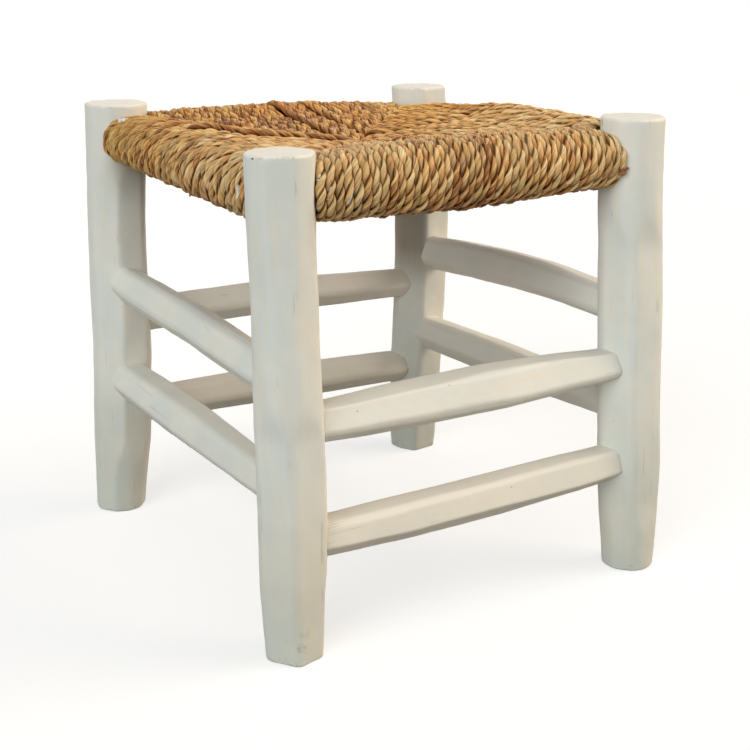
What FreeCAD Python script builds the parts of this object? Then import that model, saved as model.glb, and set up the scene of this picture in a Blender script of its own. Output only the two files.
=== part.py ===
"""Low square stool: four hewn wooden posts, eight rungs, four seat rails and a seat wound from twisted rope.

Millimetres, +Z up. The origin is on the floor, in the middle of the stool. The front is towards -Y.
Every stick is whittled by hand, so each has its own lean, bow and flats. The rope goes over and under
the rails in an envelope pattern: at each corner its turns are L-shaped and lie inside one another.
"""

import FreeCAD
import Part

import math
import os

# Overall sizes
STOOL_HEIGHT = 420.0
POST_SPACING_X = 348.5
POST_SPACING_Y = 355.2
FOOT_SPLAY_X = 7.0
FOOT_SPLAY_Y = 16.0

# Posts
POST_DIAMETER = 57.0
FOOT_TAPER_LENGTH = 82.0
FOOT_ROUND = 4.0
POST_TOP_ROUND = 2.5

# Rungs
RUNG_END_DIAMETER = 31.0
RUNG_MIDDLE_DIAMETER = 38.0
RUNG_SHOULDER_LENGTH = 9.0
RUNG_TENON_DIAMETER = 26.0
RUNG_TENON_LENGTH = 22.0
FRONT_UPPER_RUNG_HEIGHT = 203.0
FRONT_LOWER_RUNG_HEIGHT = 103.0
SIDE_UPPER_RUNG_HEIGHT = 244.0
SIDE_LOWER_RUNG_HEIGHT = 149.0

# Seat rails, hidden in the rope
SEAT_RAIL_DROP = 30.5
RAIL_DIAMETER = 31.0
RAIL_SHOULDER_LENGTH = 2.0
RAIL_TENON_DIAMETER = 24.0
RAIL_TENON_LENGTH = 14.5

# Joints between sticks and posts
TENON_CHAMFER = 1.5
TENON_CLEARANCE = 0.15
MORTISE_END_GAP = 0.5
CUT_OVERRUN = 10.0

# Rope seat
ROPE_WIDTH = 6.6
ROPE_GAP = 0.45
ROPE_RAIL_CLEARANCE = 0.3
ROPE_POST_CLEARANCE = 0.3
SEAT_CROWN = 7.0
SEAT_DISH = 17.5
UNDERSIDE_RISE = 4.0
CORE_CLEARANCE = 0.3

# The posts, by the sides that they stand on. Leans and bows are shares of the post diameter along X and Y,
# and a bow is deepest at its height share. The girths are shares of it too, at the foot's end, at the top
# of its taper and then at each of the heights in GIRTH_HEIGHT_SHARES. The rise is how far the top stands
# above the others.
POSTS = {
    "front_left_post": {
        "sides": (-1, -1), "top_lean_shares": (-0.03, -0.06), "foot_lean_shares": (0.04, -0.01),
        "bow_shares": (0.023, -0.014), "bow_height_share": 0.5, "rise_share": -0.028,
        "girth_shares": (0.80, 0.985, 1.0, 0.955, 0.915, 0.945), "hew_phase": 0.4,
    },
    "front_right_post": {
        "sides": (1, -1), "top_lean_shares": (-0.02, -0.085), "foot_lean_shares": (0.02, -0.04),
        "bow_shares": (0.0, 0.0), "bow_height_share": 0.5, "rise_share": 0.045,
        "girth_shares": (0.83, 0.995, 1.0, 1.01, 1.015, 1.01), "hew_phase": 1.9,
    },
    "back_left_post": {
        "sides": (-1, 1), "top_lean_shares": (0.04, -0.06), "foot_lean_shares": (-0.03, 0.04),
        "bow_shares": (0.06, -0.035), "bow_height_share": 0.35, "rise_share": 0.022,
        "girth_shares": (0.87, 0.995, 1.025, 1.005, 1.0, 1.025), "hew_phase": 3.1,
    },
    "back_right_post": {
        "sides": (1, 1), "top_lean_shares": (0.03, -0.08), "foot_lean_shares": (-0.02, -0.10),
        "bow_shares": (0.075, -0.045), "bow_height_share": 0.65, "rise_share": -0.044,
        "girth_shares": (0.84, 0.98, 0.985, 0.99, 1.0, 0.98), "hew_phase": 5.0,
    },
}
GIRTH_HEIGHT_SHARES = (0.3, 0.55, 0.75, 1.0)

# The rungs. The end rises, at the first and the second post, the bow upwards and the girth are shares of
# the rung's middle diameter.
RUNGS = {
    "front_upper_rung": {
        "posts": ("front_left_post", "front_right_post"), "height": FRONT_UPPER_RUNG_HEIGHT,
        "rise_shares": (-0.05, 0.0), "bow_share": 0.02, "girth_share": 1.0, "hew_phase": 0.2,
    },
    "front_lower_rung": {
        "posts": ("front_left_post", "front_right_post"), "height": FRONT_LOWER_RUNG_HEIGHT,
        "rise_shares": (-0.03, -0.03), "bow_share": 0.02, "girth_share": 0.92, "hew_phase": 1.4,
    },
    "back_upper_rung": {
        "posts": ("back_left_post", "back_right_post"), "height": FRONT_UPPER_RUNG_HEIGHT,
        "rise_shares": (0.10, -0.05), "bow_share": 0.05, "girth_share": 0.85, "hew_phase": 2.6,
    },
    "back_lower_rung": {
        "posts": ("back_left_post", "back_right_post"), "height": FRONT_LOWER_RUNG_HEIGHT,
        "rise_shares": (0.16, -0.05), "bow_share": 0.03, "girth_share": 0.90, "hew_phase": 3.7,
    },
    "left_upper_rung": {
        "posts": ("front_left_post", "back_left_post"), "height": SIDE_UPPER_RUNG_HEIGHT,
        "rise_shares": (-0.18, 0.18), "bow_share": 0.05, "girth_share": 0.90, "hew_phase": 4.4,
    },
    "left_lower_rung": {
        "posts": ("front_left_post", "back_left_post"), "height": SIDE_LOWER_RUNG_HEIGHT,
        "rise_shares": (-0.16, 0.05), "bow_share": 0.18, "girth_share": 0.92, "hew_phase": 5.3,
    },
    "right_upper_rung": {
        "posts": ("front_right_post", "back_right_post"), "height": SIDE_UPPER_RUNG_HEIGHT,
        "rise_shares": (0.18, -0.08), "bow_share": 0.16, "girth_share": 0.94, "hew_phase": 0.9,
    },
    "right_lower_rung": {
        "posts": ("front_right_post", "back_right_post"), "height": SIDE_LOWER_RUNG_HEIGHT,
        "rise_shares": (0.18, -0.05), "bow_share": -0.01, "girth_share": 0.92, "hew_phase": 2.1,
    },
}

# The seat rails, each with the two posts that it joins
SEAT_RAILS = {
    "front_seat_rail": ("front_left_post", "front_right_post"),
    "back_seat_rail": ("back_left_post", "back_right_post"),
    "left_seat_rail": ("front_left_post", "back_left_post"),
    "right_seat_rail": ("front_right_post", "back_right_post"),
}

# How far a hewn stick swells between its ends, as shares of its length and of its extra girth there
RUNG_SWELL_SHARES = ((0.0, 0.0), (0.15, 0.55), (0.36, 0.92), (0.58, 1.0), (0.82, 0.6), (1.0, 0.0))

# How deep the flats of a hewn stick go, as shares of its radius, and how much wider than deep a rung is
HEW_SHARE = 0.025
FINE_HEW_SHARE = 0.012
LARGEST_HEW_SHARE = HEW_SHARE + FINE_HEW_SHARE
RUNG_FLAT_SHARE = 0.06

POST_SIDES = 12
RUNG_SIDES = 8
RAIL_SIDES = 12
ROPE_SIDES = 6
WRAP_CORNERS = 4
GAP_SAMPLES = 8

RIGHT = FreeCAD.Vector(1, 0, 0)
BACK = FreeCAD.Vector(0, 1, 0)
UP = FreeCAD.Vector(0, 0, 1)
RAIL_HEIGHT = STOOL_HEIGHT - SEAT_RAIL_DROP


def skin(rings):
    """A solid through rings of corners. The four corners of each side lie in one plane."""
    count = len(rings[0])
    faces = [Part.Face(Part.makePolygon(ring + ring[:1])) for ring in (rings[0], rings[-1])]
    for lower, upper in zip(rings, rings[1:]):
        for i in range(count):
            j = (i + 1) % count
            corners = [lower[i], lower[j], upper[j], upper[i], lower[i]]
            faces.append(Part.Face(Part.makePolygon(corners)))
    solid = Part.Solid(Part.Shell(faces))
    if solid.Volume < 0:
        solid.reverse()
    return solid


def ring(centre, across, upward, radius, shares):
    """The corners of a polygon round a centre, with the shares of the radius that they stand out by."""
    corners = []
    for i, share in enumerate(shares):
        angle = 2 * math.pi * (i + 0.5) / len(shares)
        offset = across * math.cos(angle) + upward * math.sin(angle)
        corners.append(centre + offset * (radius * share))
    return corners


def hewn_shares(sides, phase):
    """How far each corner of a hewn stick stands out, as shares of its radius, no corner by more than one."""
    shares = []
    for i in range(sides):
        angle = 2 * math.pi * i / sides
        flats = HEW_SHARE * math.sin(2 * angle + phase) + FINE_HEW_SHARE * math.sin(3 * angle - 2 * phase)
        shares.append(1 + flats)
    return shares


# Posts


def post_point(name, height):
    """The point at a height on a post's bent centre line."""
    post = POSTS[name]
    share = height / STOOL_HEIGHT
    deepest = post["bow_height_share"]
    if share < deepest:
        bend = math.sin(math.pi / 2 * share / deepest)
    else:
        bend = math.sin(math.pi / 2 * (1 - share) / (1 - deepest))
    place = []
    for i, (spacing, splay) in enumerate(((POST_SPACING_X, FOOT_SPLAY_X), (POST_SPACING_Y, FOOT_SPLAY_Y))):
        side = post["sides"][i]
        top = side * spacing / 2 + post["top_lean_shares"][i] * POST_DIAMETER
        foot = side * (spacing / 2 + splay) + post["foot_lean_shares"][i] * POST_DIAMETER
        place.append(foot + (top - foot) * share + post["bow_shares"][i] * POST_DIAMETER * bend)
    return FreeCAD.Vector(place[0], place[1], height)


def post_girths(name):
    """Heights up a post, and its radius at each."""
    post = POSTS[name]
    radii = [share * POST_DIAMETER / 2 for share in post["girth_shares"]]
    top = STOOL_HEIGHT + post["rise_share"] * POST_DIAMETER
    shaft = top - POST_TOP_ROUND - FOOT_TAPER_LENGTH
    girths = [(0.0, radii[0] - FOOT_ROUND)]
    girths.append((FOOT_ROUND / 3, radii[0] - FOOT_ROUND / 3))
    girths.append((FOOT_ROUND, radii[0]))
    girths.append((FOOT_TAPER_LENGTH, radii[1]))
    for share, radius in zip(GIRTH_HEIGHT_SHARES, radii[2:]):
        girths.append((FOOT_TAPER_LENGTH + share * shaft, radius))
    girths.append((top - POST_TOP_ROUND / 3, radii[-1] - POST_TOP_ROUND / 3))
    girths.append((top, radii[-1] - POST_TOP_ROUND))
    return girths


def post_radius(name, height):
    """How far the widest corner of a post stands from its centre line at a height."""
    girths = post_girths(name)
    for (low, low_radius), (high, high_radius) in zip(girths, girths[1:]):
        if low <= height <= high:
            radius = low_radius + (high_radius - low_radius) * (height - low) / (high - low)
            return radius * (1 + LARGEST_HEW_SHARE)
    return girths[-1][1] * (1 + LARGEST_HEW_SHARE)


def post(name):
    """A post, with a drilled mortise for each stick that it holds."""
    shares = hewn_shares(POST_SIDES, POSTS[name]["hew_phase"])
    rings = [ring(post_point(name, height), RIGHT, BACK, radius, shares) for height, radius in post_girths(name)]
    mortises = []
    for posts, heights, tenon_diameter, tenon_length in sticks():
        if name in posts:
            centre, inward = stick_end(posts, heights, posts.index(name))
            face = post_radius(name, centre.z)
            bottom = face - tenon_length - MORTISE_END_GAP
            radius = tenon_diameter / 2 + TENON_CLEARANCE
            depth = face + CUT_OVERRUN - bottom
            mortises.append(Part.makeCylinder(radius, depth, centre + inward * bottom, inward))
    return skin(rings).cut(mortises)


# Rungs and seat rails


def rung_heights(name):
    return [RUNGS[name]["height"] + share * RUNG_MIDDLE_DIAMETER for share in RUNGS[name]["rise_shares"]]


def sticks():
    """The posts, the heights, and the tenon's diameter and length, of every stick that joins two posts."""
    for name in RUNGS:
        yield RUNGS[name]["posts"], rung_heights(name), RUNG_TENON_DIAMETER, RUNG_TENON_LENGTH
    for posts in SEAT_RAILS.values():
        yield posts, (RAIL_HEIGHT, RAIL_HEIGHT), RAIL_TENON_DIAMETER, RAIL_TENON_LENGTH


def stick_end(posts, heights, end):
    """The point on a post's centre line that a stick points at, and the way from there along the stick."""
    centre = post_point(posts[end], heights[end])
    other = post_point(posts[1 - end], heights[1 - end])
    return centre, (other - centre).normalize()


def stick(posts, heights, tenon, body, shares, bow):
    """A stick with a whittled tenon at both ends.

    tenon is its diameter and length. body is a list of the stick's radii, each with its share of the way
    from one shoulder to the other, and the length of a shoulder.
    """
    tenon_diameter, tenon_length = tenon
    radii, shoulder = body
    start, along = stick_end(posts, heights, 0)
    length = (post_point(posts[1], heights[1]) - start).Length
    across = along.cross(UP).normalize()
    upward = across.cross(along)
    near = post_radius(posts[0], heights[0])
    far = length - post_radius(posts[1], heights[1])
    tenon_radius = tenon_diameter / 2 / max(shares)

    places = [(near - tenon_length, tenon_radius - TENON_CHAMFER)]
    places.append((near - tenon_length + TENON_CHAMFER, tenon_radius))
    places.append((near, tenon_radius))
    for share, radius in radii:
        places.append((near + shoulder + share * (far - near - 2 * shoulder), radius))
    places.append((far, tenon_radius))
    places.append((far + tenon_length - TENON_CHAMFER, tenon_radius))
    places.append((far + tenon_length, tenon_radius - TENON_CHAMFER))

    rings = []
    for distance, radius in places:
        inside = min(max((distance - near) / (far - near), 0), 1)
        centre = start + along * distance + upward * (bow * math.sin(math.pi * inside))
        rings.append(ring(centre, across, upward, radius, shares))
    return skin(rings)


def rung(name):
    one = RUNGS[name]
    end_radius = RUNG_END_DIAMETER / 2
    middle_radius = one["girth_share"] * RUNG_MIDDLE_DIAMETER / 2
    radii = [(share, end_radius + swell * (middle_radius - end_radius)) for share, swell in RUNG_SWELL_SHARES]
    shares = hewn_shares(RUNG_SIDES, one["hew_phase"])
    for i in range(RUNG_SIDES):
        shares[i] *= 1 - RUNG_FLAT_SHARE * abs(math.cos(2 * math.pi * (i + 0.5) / RUNG_SIDES))
    tenon = (RUNG_TENON_DIAMETER, RUNG_TENON_LENGTH)
    bow = one["bow_share"] * RUNG_MIDDLE_DIAMETER
    return stick(one["posts"], rung_heights(name), tenon, (radii, RUNG_SHOULDER_LENGTH), shares, bow)


def seat_rail(name):
    radii = [(0.0, RAIL_DIAMETER / 2), (1.0, RAIL_DIAMETER / 2)]
    tenon = (RAIL_TENON_DIAMETER, RAIL_TENON_LENGTH)
    heights = (RAIL_HEIGHT, RAIL_HEIGHT)
    return stick(SEAT_RAILS[name], heights, tenon, (radii, RAIL_SHOULDER_LENGTH), [1.0] * RAIL_SIDES, 0.0)


# Rope seat

# The rope is six-sided, with an edge outward and flats towards its neighbours.
ROPE_RADIUS = ROPE_WIDTH / 2 / math.cos(math.pi / ROPE_SIDES)
WRAP_RADIUS = RAIL_DIAMETER / 2 + ROPE_RAIL_CLEARANCE + ROPE_RADIUS
TOP_LEVEL = RAIL_HEIGHT + WRAP_RADIUS
UNDER_LEVEL = RAIL_HEIGHT - WRAP_RADIUS


def rail_point(name, place, axis):
    """The point on a seat rail's centre line at a place along X, for axis 0, or along Y, for axis 1."""
    start, end = (post_point(post_name, RAIL_HEIGHT) for post_name in SEAT_RAILS[name])
    return start + (end - start) * ((place - start[axis]) / (end[axis] - start[axis]))


def winding_start(name):
    """Where the rope starts beside a post, along X and along Y."""
    edge = post_radius(name, TOP_LEVEL) + ROPE_POST_CLEARANCE
    centre = post_point(name, TOP_LEVEL)
    return [centre[axis] - POSTS[name]["sides"][axis] * edge for axis in (0, 1)]


def turn_count():
    """How many turns fit between the posts and the middle of the seat. Every corner has as many."""
    room = min(abs(start) for name in POSTS for start in winding_start(name))
    return int(room // (ROPE_WIDTH + ROPE_GAP))


def wrap_points(centre, outward):
    """The corners of the rope's way over a rail, from its top to its underside."""
    corner_radius = WRAP_RADIUS / math.cos(math.pi / WRAP_CORNERS / 2)
    points = []
    for i in range(WRAP_CORNERS):
        angle = math.pi * (0.5 - (i + 0.5) / WRAP_CORNERS)
        points.append(centre + (outward * math.cos(angle) + UP * math.sin(angle)) * corner_radius)
    return points


def crest(over_rail, diagonal, share):
    """The highest point of a run over the seat, a third of the way in from its rail."""
    point = over_rail + (diagonal - over_rail) / 3
    point.z = TOP_LEVEL + SEAT_CROWN * math.sin(math.pi / 2 * share)
    return point


def rope_path(name):
    """The corners of the rope's way at one post.

    Each turn comes up round the rail along Y, runs in over the seat, turns square on the diagonal, runs out
    and goes down round the rail along X. Under the seat it runs in again and turns into the next one's line.
    """
    side_x, side_y = POSTS[name]["sides"]
    cross_rail = "front_seat_rail" if side_y < 0 else "back_seat_rail"
    side_rail = "left_seat_rail" if side_x < 0 else "right_seat_rail"
    turns = turn_count()
    start_x, start_y = winding_start(name)
    places_x = [start_x * (1 - (i + 0.5) / turns) for i in range(-1, turns)]
    places_y = [start_y * (1 - (i + 0.5) / turns) for i in range(turns)]

    points = [FreeCAD.Vector(places_x[0], places_y[0], UNDER_LEVEL)]
    for i, (x, y) in enumerate(zip(places_x[1:], places_y)):
        share = (i + 0.5) / turns
        side = rail_point(side_rail, y, 1)
        cross = rail_point(cross_rail, x, 0)
        diagonal = FreeCAD.Vector(x, y, TOP_LEVEL - SEAT_DISH * share ** 1.5)
        points += wrap_points(side, RIGHT * side_x)[::-1]
        points += [crest(side, diagonal, share), diagonal, crest(cross, diagonal, share)]
        points += wrap_points(cross, BACK * side_y)
        next_y = places_y[min(i + 1, turns - 1)]
        points.append(FreeCAD.Vector(x, next_y, UNDER_LEVEL + UNDERSIDE_RISE * share))
    return points


def rope(path):
    """One unbroken six-sided tube along a path, mitred at each corner so that its sides stay flat."""
    runs = [(end - start).normalize() for start, end in zip(path, path[1:])]
    corners = ring(path[0], runs[0].cross(UP), UP, ROPE_RADIUS, [1.0] * ROPE_SIDES)
    rings = [corners]
    for point, run, following in zip(path[1:], runs, runs[1:] + runs[-1:]):
        mitre = run + following
        corners = [corner + run * ((point - corner).dot(mitre) / run.dot(mitre)) for corner in corners]
        rings.append(corners)
    return skin(rings)


def least_gap(path):
    """The least gap between the turns of a rope, from points along each run to the runs of the next turn."""
    per_turn = 2 * WRAP_CORNERS + 4
    least = math.inf
    for i in range(len(path) - 1):
        for step in range(GAP_SAMPLES):
            point = path[i] + (path[i + 1] - path[i]) * (step / GAP_SAMPLES)
            for j in range(i + per_turn // 2, min(i + per_turn + per_turn // 2, len(path) - 1)):
                least = min(least, point.distanceToLineSegment(path[j], path[j + 1]).Length)
    return least - ROPE_WIDTH


def inner_spans():
    """A plain cross-shaped core for the hidden spans of rope between the upper and the lower runs."""
    bottom = UNDER_LEVEL + UNDERSIDE_RISE + ROPE_RADIUS + CORE_CLEARANCE
    top = TOP_LEVEL - SEAT_DISH - ROPE_RADIUS - CORE_CLEARANCE
    reach = RAIL_DIAMETER / 2 + CORE_CLEARANCE
    wide, narrow = [], []
    for axis in (0, 1):
        rails = [post_point(name, RAIL_HEIGHT)[axis] for name in POSTS]
        wide.append((max(y for y in rails if y < 0) + reach, min(y for y in rails if y > 0) - reach))
        starts = [winding_start(name)[axis] for name in POSTS]
        narrow.append((max(y for y in starts if y < 0), min(y for y in starts if y > 0)))
    blocks = []
    for (left, right), (front, back) in ((wide[0], narrow[1]), (narrow[0], wide[1])):
        corner = FreeCAD.Vector(left, front, bottom)
        blocks.append(Part.makeBox(right - left, back - front, top - bottom, corner))
    return blocks[0].fuse(blocks[1]).removeSplitter()


os.makedirs("parts", exist_ok=True)
for name in POSTS:
    post(name).exportStep(f"parts/{name}.step")
for name in RUNGS:
    rung(name).exportStep(f"parts/{name}.step")
for name in SEAT_RAILS:
    seat_rail(name).exportStep(f"parts/{name}.step")
for name in POSTS:
    path = rope_path(name)
    node = name.replace("post", "seat_rope")
    rope(path).exportStep(f"parts/{node}.step")
    print(f"{node}: {turn_count()} turns, least gap to itself {least_gap(path):.2f} mm")
inner_spans().exportStep("parts/seat_rope_core.step")
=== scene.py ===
import math
import bpy
import numpy as np
from mathutils import Matrix, Vector


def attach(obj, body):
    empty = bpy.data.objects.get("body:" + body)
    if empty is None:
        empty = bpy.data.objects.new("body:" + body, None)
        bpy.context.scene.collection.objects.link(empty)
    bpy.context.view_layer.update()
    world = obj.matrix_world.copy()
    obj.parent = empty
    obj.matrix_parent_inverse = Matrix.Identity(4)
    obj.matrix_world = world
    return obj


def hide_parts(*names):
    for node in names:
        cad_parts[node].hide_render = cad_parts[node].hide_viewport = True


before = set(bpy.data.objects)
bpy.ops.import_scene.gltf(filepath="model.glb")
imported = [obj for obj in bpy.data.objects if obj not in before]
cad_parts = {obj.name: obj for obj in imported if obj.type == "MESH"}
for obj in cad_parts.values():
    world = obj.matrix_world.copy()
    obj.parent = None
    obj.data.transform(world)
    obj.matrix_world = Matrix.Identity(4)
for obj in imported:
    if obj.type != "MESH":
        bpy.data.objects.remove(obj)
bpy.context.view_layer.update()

print("frame loaded:", len(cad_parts), "nodes")


# Small tools

def fade(value):
    # the value, kept between 0 and 1
    return np.clip(value, 0, 1)


def waves(value, seed, count, growth=2.1, shrink=0.6):
    # a sum of sines whose rates grow and whose heights shrink, scaled to about -1..1
    rng = np.random.default_rng(seed)
    total = np.zeros_like(value, dtype=float)
    weight = 0.0
    for i in range(count):
        rate = growth ** i * rng.uniform(0.8, 1.2)
        height = shrink ** i
        total += height * np.sin(rate * value + rng.uniform(0, 2 * math.pi))
        weight += height
    return total / weight


def smoothCurve(x, places, values):
    # a cubic through the given values, with slopes taken from the neighbours on both sides
    places, values = np.asarray(places, float), np.asarray(values, float)
    slopes = np.gradient(values, places)
    i = np.clip(np.searchsorted(places, x) - 1, 0, len(places) - 2)
    span = places[i + 1] - places[i]
    t = fade((x - places[i]) / span)
    rise = t * t * (3 - 2 * t)
    return (values[i] * (1 - rise) + values[i + 1] * rise
            + slopes[i] * span * t * (1 - t) ** 2 - slopes[i + 1] * span * t * t * (1 - t))


def unit(v):
    return v / np.maximum(np.linalg.norm(v, axis=-1, keepdims=True), 1e-12)


def squareTo(v, way):
    # what is left of v at a right angle to a unit direction, at unit length
    return unit(v - (v * way).sum(1, keepdims=True) * way)


def ringAngles(count):
    return np.linspace(0, 2 * math.pi, count, endpoint=False)


def angleFrom(middle, angle):
    # the short way round from the middle to the angle, in radians
    return np.angle(np.exp(1j * (angle - middle)))


def pathLengths(path):
    # how far along a path each of its points lies
    return np.concatenate([[0], np.cumsum(np.linalg.norm(np.diff(path, axis=0), axis=1))])


def readPath(at, lengths, table):
    # the table's three columns, read at the given lengths
    return np.stack([np.interp(at, lengths, table[:, j]) for j in range(3)], -1)


def addObject(name, data):
    thing = bpy.data.objects.new(name, data)
    bpy.context.scene.collection.objects.link(thing)
    return thing


class Skin:
    # collects closed tubes, each a grid of rows along it and columns round it, into one mesh
    def __init__(self):
        self.verts, self.quads, self.tris, self.data = [], [], [], {}
        self.count = 0

    def tube(self, points, **data):
        rows, cols = points.shape[:2]
        self.verts += [points.reshape(-1, 3), np.stack([points[0].mean(0), points[-1].mean(0)])]
        around = np.arange(cols)
        turned = (around + 1) % cols
        starts = self.count + np.arange(rows - 1)[:, None] * cols
        a, b = starts + around, starts + turned
        self.quads.append(np.stack([a, b, b + cols, a + cols], -1).reshape(-1, 4))
        # each end is closed by a fan of triangles round a pole
        last = self.count + (rows - 1) * cols
        pole = np.full(cols, self.count + rows * cols)
        self.tris.append(np.stack([self.count + turned, self.count + around, pole], -1))
        self.tris.append(np.stack([last + around, last + turned, pole + 1], -1))
        for key, value in data.items():
            value = np.asarray(value, float)
            value = np.broadcast_to(value, (rows, cols) + value.shape[2:])
            caps = np.stack([value[0].mean(0), value[-1].mean(0)])
            flat = value.reshape((rows * cols,) + value.shape[2:])
            self.data.setdefault(key, []).append(np.concatenate([flat, caps]))
        self.count += rows * cols + 2

    def build(self, name, material):
        verts = np.concatenate(self.verts)
        quads, tris = np.concatenate(self.quads), np.concatenate(self.tris)
        mesh = bpy.data.meshes.new(name)
        mesh.vertices.add(len(verts))
        mesh.vertices.foreach_set("co", verts.ravel().astype(np.float32))
        corners = np.concatenate([quads.ravel(), tris.ravel()]).astype(np.int32)
        mesh.loops.add(len(corners))
        mesh.loops.foreach_set("vertex_index", corners)
        starts = np.concatenate([np.arange(len(quads)) * 4, len(quads) * 4 + np.arange(len(tris)) * 3])
        mesh.polygons.add(len(starts))
        mesh.polygons.foreach_set("loop_start", starts.astype(np.int32))
        mesh.update(calc_edges=True)
        mesh.validate()
        mesh.shade_smooth()
        for key, parts in self.data.items():
            value = np.concatenate(parts).astype(np.float32)
            kind, field = ("FLOAT_VECTOR", "vector") if value.ndim == 2 else ("FLOAT", "value")
            mesh.attributes.new(key, kind, "POINT").data.foreach_set(field, value.ravel())
        mesh.materials.append(material)
        return addObject(name, mesh)


class Nodes:
    # short names for the shader nodes of a material or of the world
    def __init__(self, owner):
        owner.use_nodes = True
        self.owner, self.tree = owner, owner.node_tree
        self.shader = self.tree.nodes.get("Principled BSDF")

    def link(self, source, node, socket):
        if isinstance(source, bpy.types.NodeSocket):
            self.tree.links.new(source, node.inputs[socket])
        else:
            node.inputs[socket].default_value = source

    def node(self, kind, output, inputs, **settings):
        # adds a node, sets or links its inputs, and hands back one of its outputs
        node = self.tree.nodes.new("ShaderNode" + kind)
        for key, value in settings.items():
            setattr(node, key, value)
        for socket, value in inputs.items():
            self.link(value, node, socket)
        return node.outputs[output]

    def attribute(self, name, output="Fac"):
        return self.node("Attribute", output, {}, attribute_name=name)

    def objectSpace(self):
        return self.node("TexCoord", "Object", {})

    def stretch(self, vector, scale):
        return self.node("Mapping", "Vector", {"Vector": vector, "Scale": scale})

    def noise(self, vector, scale, detail, roughness=0.55, distortion=0.0):
        return self.node("TexNoise", "Fac", {"Vector": vector, "Scale": scale, "Detail": detail,
                                             "Roughness": roughness, "Distortion": distortion})

    def cells(self, vector, scale):
        return self.node("TexVoronoi", "Distance", {"Vector": vector, "Scale": scale})

    def distance(self, vector, centre, scale):
        # how far a place is from a fixed one, with its own scale on each axis
        apart = self.node("VectorMath", "Vector", {0: vector, 1: centre}, operation="SUBTRACT")
        scaled = self.node("VectorMath", "Vector", {0: apart, 1: scale}, operation="MULTIPLY")
        return self.node("VectorMath", "Value", {0: scaled}, operation="LENGTH")

    def part(self, vector, axis):
        return self.node("SeparateXYZ", axis, {0: vector})

    def ramp(self, value, low, high, toLow=0.0, toHigh=1.0):
        return self.node("MapRange", "Result", {"Value": value, "From Min": low, "From Max": high, "To Min": toLow,
                                                "To Max": toHigh}, interpolation_type="SMOOTHSTEP")

    def math(self, kind, first, second):
        return self.node("Math", 0, {0: first, 1: second}, operation=kind)

    def times(self, first, second):
        return self.math("MULTIPLY", first, second)

    def mix(self, share, first, second, blend="MIX"):
        return self.node("Mix", 2, {0: share, 6: first, 7: second}, data_type="RGBA", blend_type=blend)

    def layers(self, base, *coats):
        # each coat, a share and a colour, goes over those before it
        for share, tint in coats:
            base = self.mix(share, base, tint)
        return base

    def bump(self, height, distance, strength, below=None):
        inputs = {"Strength": strength, "Distance": distance, "Height": height}
        return self.node("Bump", "Normal", inputs if below is None else {**inputs, "Normal": below})

    def finish(self, inputs):
        for socket, value in inputs.items():
            self.link(value, self.shader, socket)
        return self.owner


def colour(*shown):
    # a colour as it shows on screen, 0..255, changed to the linear values that shaders take
    parts = [c / 255 for c in shown]
    return (*(c / 12.92 if c <= 0.04045 else ((c + 0.055) / 1.055) ** 2.4 for c in parts), 1.0)


paint = {
    "white": colour(229, 227, 218),
    "warmWhite": colour(232, 224, 208),
    "greyWhite": colour(220, 222, 216),
    # a warm cream tint, which also stands in for light on rungs in shadow
    "cream": colour(247, 238, 226),
    "wornEdge": colour(198, 182, 154),
    "dirt": colour(120, 108, 90),
    "pit": colour(96, 86, 74),
    # painted shadow that the seat and the rope cast on the posts
    "shade": colour(134, 112, 80),
    # painted shade near the floor
    "paintedFloorShade": colour(238, 238, 234),
    "roughness": (0.48, 0.63),
    # small dark marks: place, radius, how far it is stretched upwards, and strength
    "marks": (((-0.2035, -0.1883, 0.4185), 0.0017, 0.8, 0.9), ((-0.1871, -0.2082, 0.3792), 0.0010, 1, 0.8),
              ((-0.1960, -0.2040, 0.3403), 0.0010, 1, 0.8), ((-0.1654, -0.2095, 0.3212), 0.0010, 1, 0.5),
              ((0.1455, -0.1742, 0.4200), 0.0011, 5, 0.8), ((0.1707, 0.1496, 0.2406), 0.0026, 2, 0.45)),
}


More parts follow.
